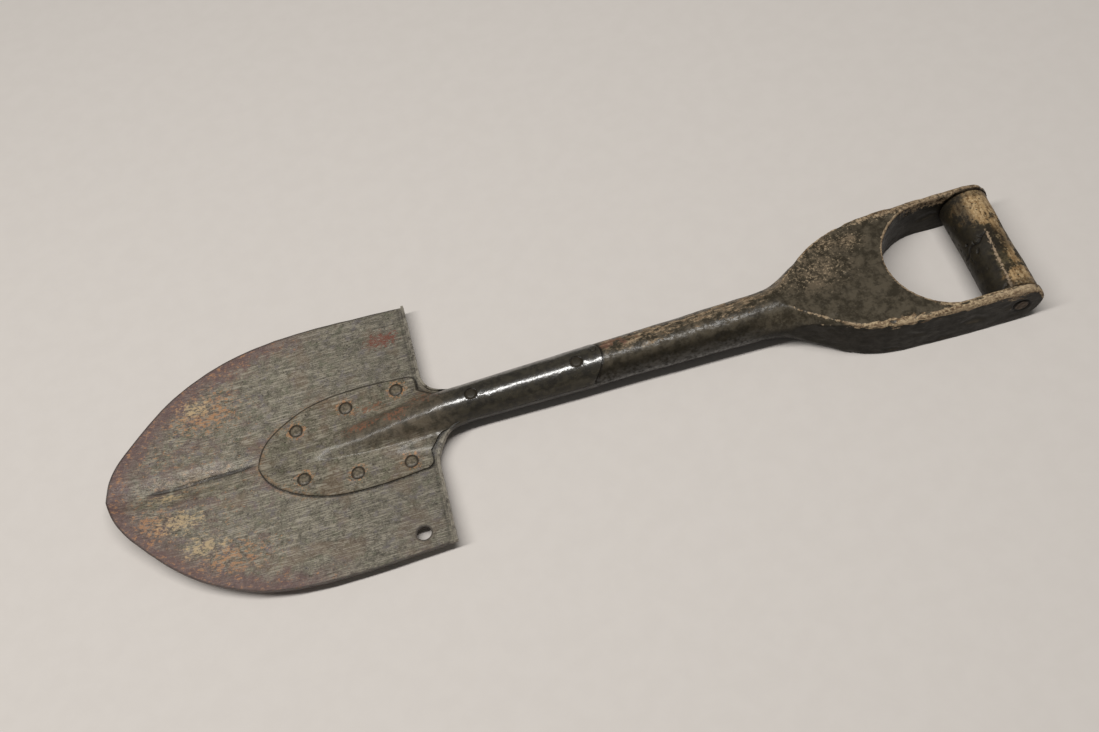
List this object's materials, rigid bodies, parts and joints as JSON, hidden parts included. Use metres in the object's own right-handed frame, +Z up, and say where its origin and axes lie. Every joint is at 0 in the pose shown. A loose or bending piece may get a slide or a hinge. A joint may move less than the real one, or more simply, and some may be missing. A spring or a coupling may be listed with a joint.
{
  "type": "camp shovel",
  "caption": "Short D-handled camp shovel: dished pointed steel blade with a riveted strap socket on a one-piece wooden shaft and D, and a turned wooden crossbar grip.",
  "frame": {"origin": "centre of the whole shovel's plan box, on the ground it lies on", "axes": "+X from the blade's point towards the grip, +Y across the blade away from the corner with the hanging hole, +Z up out of the blade's hollow face"},
  "size_m": [0.7109, 0.2164, 0.04],
  "materials": {
    "blade_steel": "worn olive-grey paint over dark steel, fine scratches along the blade, brown and orange rust towards the point and edges",
    "strap_steel": "dark oily olive paint rubbed smooth, glossy on the round of the strap",
    "rivet_steel": "dark steel with worn olive paint",
    "handle_wood": "dark olive-brown painted hardwood, worn to tan on edges and high spots",
    "grip_wood": "bare and stained hardwood, mottled tan and olive, with checks along the grain",
    "rod_steel": "brown rusted steel"
  },
  "bodies": {
    "root": {"blade": "blade_steel", "front_strap": "strap_steel", "blade_rivet_1": "rivet_steel", "blade_rivet_2": "rivet_steel", "blade_rivet_3": "rivet_steel", "blade_rivet_4": "rivet_steel", "blade_rivet_5": "rivet_steel", "blade_rivet_6": "rivet_steel", "strap_rivet_1": "rivet_steel", "strap_rivet_2": "rivet_steel", "strap_nail": "rivet_steel", "handle": "handle_wood", "grip": "grip_wood", "grip_rod": "rod_steel"}
  },
  "joints": []
}
